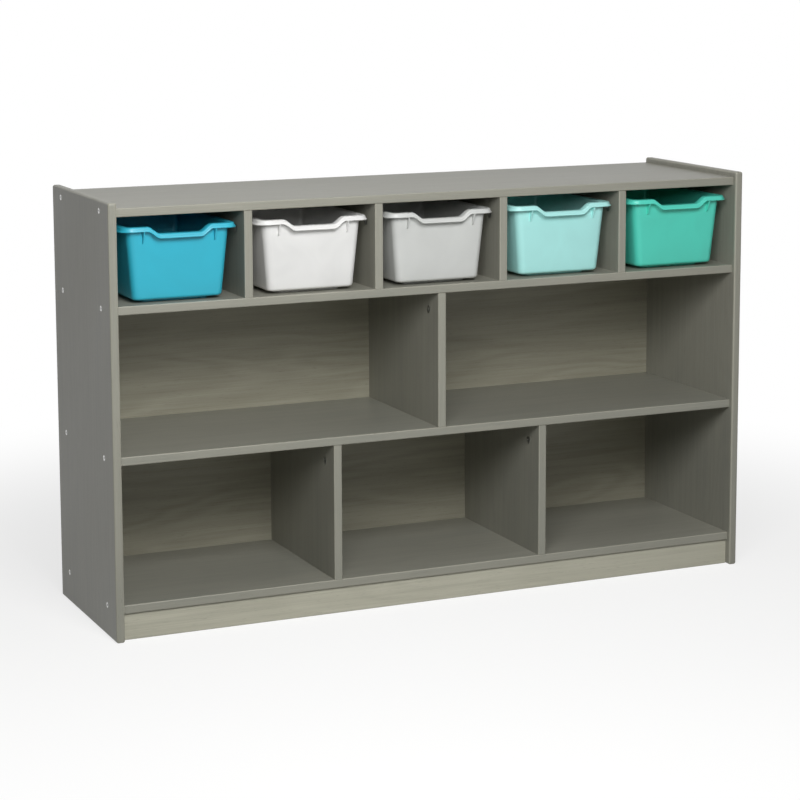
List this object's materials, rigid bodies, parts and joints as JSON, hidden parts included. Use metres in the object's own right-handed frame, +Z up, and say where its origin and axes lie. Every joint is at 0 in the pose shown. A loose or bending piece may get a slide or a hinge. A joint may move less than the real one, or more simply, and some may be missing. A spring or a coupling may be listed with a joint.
{
  "type": "toy storage organizer with bins",
  "caption": "Low open cabinet of grey-washed plywood: a top row of cubbies with pull-out tapered plastic bins over wide open cubbies, side panels to the floor, toe board and back panel.",
  "frame": {"origin": "on the floor, at the centre of the footprint", "axes": "+X to the right seen from the front (longest), +Y to the back, +Z up; the bins pull out along -Y"},
  "size_m": [1.219, 0.333, 0.746],
  "materials": {
    "washed_birch": "birch plywood with a grey wash, clear satin lacquer",
    "back_birch": "thin birch plywood, pale grey wash, satin",
    "screw_steel": "bright zinc plate",
    "cam_zinc": "die-cast zinc, as cast",
    "bolt_steel": "bright zinc plate",
    "dowel_beech": "plain beech",
    "turquoise_plastic": "injection-moulded polypropylene, soft gloss",
    "white_plastic": "injection-moulded polypropylene, soft gloss",
    "grey_plastic": "injection-moulded polypropylene, soft gloss",
    "aqua_plastic": "injection-moulded polypropylene, soft gloss",
    "green_plastic": "injection-moulded polypropylene, soft gloss"
  },
  "bodies": {
    "cabinet": {"left_side_panel": "washed_birch", "right_side_panel": "washed_birch", "top_board": "washed_birch", "upper_shelf": "washed_birch", "middle_shelf": "washed_birch", "bottom_shelf": "washed_birch", "toe_board": "washed_birch", "bin_divider_1": "washed_birch", "bin_divider_2": "washed_birch", "bin_divider_3": "washed_birch", "bin_divider_4": "washed_birch", "middle_divider": "washed_birch", "lower_divider_1": "washed_birch", "lower_divider_2": "washed_birch", "back_panel": "back_birch", "left_side_screws": "screw_steel", "right_side_screws": "screw_steel", "cam_locks": "cam_zinc", "cam_bolts": "bolt_steel", "divider_dowels": "dowel_beech", "toe_board_dowels": "dowel_beech"},
    "bin_turquoise": {"bin_turquoise": "turquoise_plastic"},
    "bin_white": {"bin_white": "white_plastic"},
    "bin_grey": {"bin_grey": "grey_plastic"},
    "bin_aqua": {"bin_aqua": "aqua_plastic"},
    "bin_green": {"bin_green": "green_plastic"}
  },
  "joints": [
    {"name": "bin_turquoise_slide", "type": "slide", "parent": "cabinet", "child": "bin_turquoise", "axis": [0, -1, 0], "range_m": [-0.025, 0.3]},
    {"name": "bin_white_slide", "type": "slide", "parent": "cabinet", "child": "bin_white", "axis": [0, -1, 0], "range_m": [-0.025, 0.3]},
    {"name": "bin_grey_slide", "type": "slide", "parent": "cabinet", "child": "bin_grey", "axis": [0, -1, 0], "range_m": [-0.025, 0.3]},
    {"name": "bin_aqua_slide", "type": "slide", "parent": "cabinet", "child": "bin_aqua", "axis": [0, -1, 0], "range_m": [-0.025, 0.3]},
    {"name": "bin_green_slide", "type": "slide", "parent": "cabinet", "child": "bin_green", "axis": [0, -1, 0], "range_m": [-0.025, 0.3]}
  ]
}
